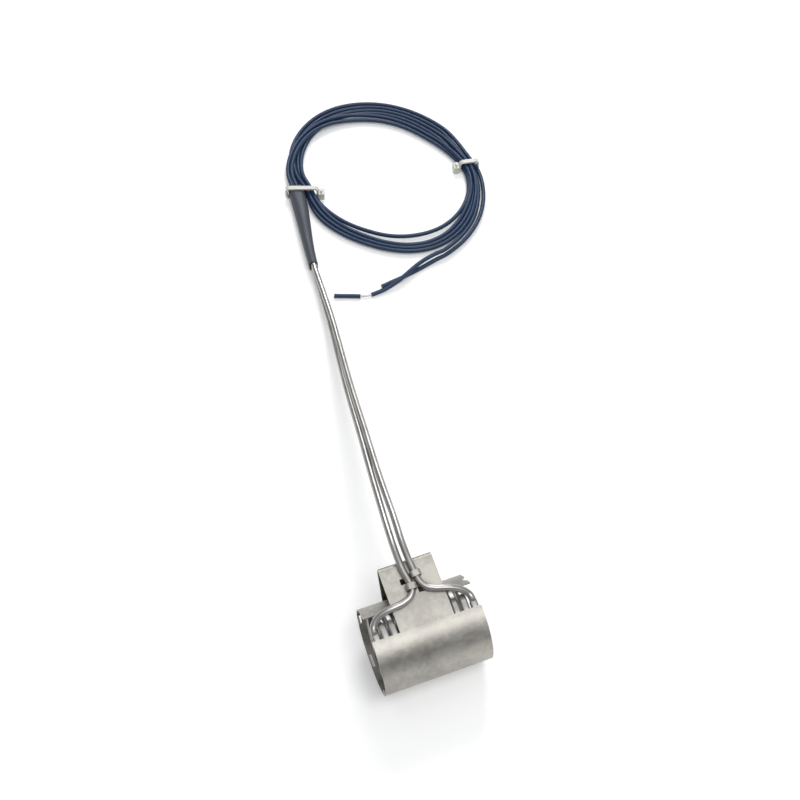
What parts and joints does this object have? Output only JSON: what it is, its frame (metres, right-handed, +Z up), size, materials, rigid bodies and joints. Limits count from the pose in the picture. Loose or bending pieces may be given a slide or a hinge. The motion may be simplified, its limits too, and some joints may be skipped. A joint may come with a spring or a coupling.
{
  "type": "coil heater",
  "caption": "Coil heater for a hot runner nozzle: flattened heating tube wound inside a clipped sheet reflector, long bent legs, shrink-sleeved joint and insulated leads in a tied hank.",
  "frame": {"origin": "centre of the nozzle bore, at the middle of the coil's length", "axes": "X runs along the bore, Y back along the heater's legs to the leads, Z up; the sheath, the sleeve and the ties lie on the plane z = -20 mm"},
  "size_m": [0.1627, 0.3688, 0.0475],
  "materials": {
    "sheath_steel": "matt rolled stainless sheet",
    "tube_steel": "satin stainless tube",
    "magnesia": "packed powder",
    "resistance_wire": "dull wound wire",
    "nickel_wire": "nickel-plated wire",
    "seal_compound": "cured sealing compound",
    "crimp_metal": "plated crimp ferrule",
    "glass_sleeving": "woven glass sleeving",
    "shrink_tube": "heat-shrunk polymer",
    "lead_insulation": "smooth dark blue insulation",
    "natural_nylon": "uncoloured moulded nylon"
  },
  "bodies": {
    "root": {"reflector_sheath": "sheath_steel", "heater_tube": "tube_steel", "magnesia_fill": "magnesia", "resistance_coil": "resistance_wire", "terminal_pin_left": "nickel_wire", "terminal_pin_right": "nickel_wire", "end_seal_left": "seal_compound", "end_seal_right": "seal_compound", "crimp_left": "crimp_metal", "crimp_right": "crimp_metal", "inner_sleeve_left": "glass_sleeving", "inner_sleeve_right": "glass_sleeving", "stripped_end_left": "nickel_wire", "stripped_end_right": "nickel_wire", "shrink_sleeve": "shrink_tube", "lead_left_start": "lead_insulation", "lead_right_start": "lead_insulation", "lead_hank": "lead_insulation", "lead_tail_long": "lead_insulation", "lead_tail_short": "lead_insulation", "bare_conductor": "nickel_wire", "insulation_slug": "lead_insulation", "cable_tie_left": "natural_nylon", "cable_tie_right": "natural_nylon"}
  },
  "joints": []
}
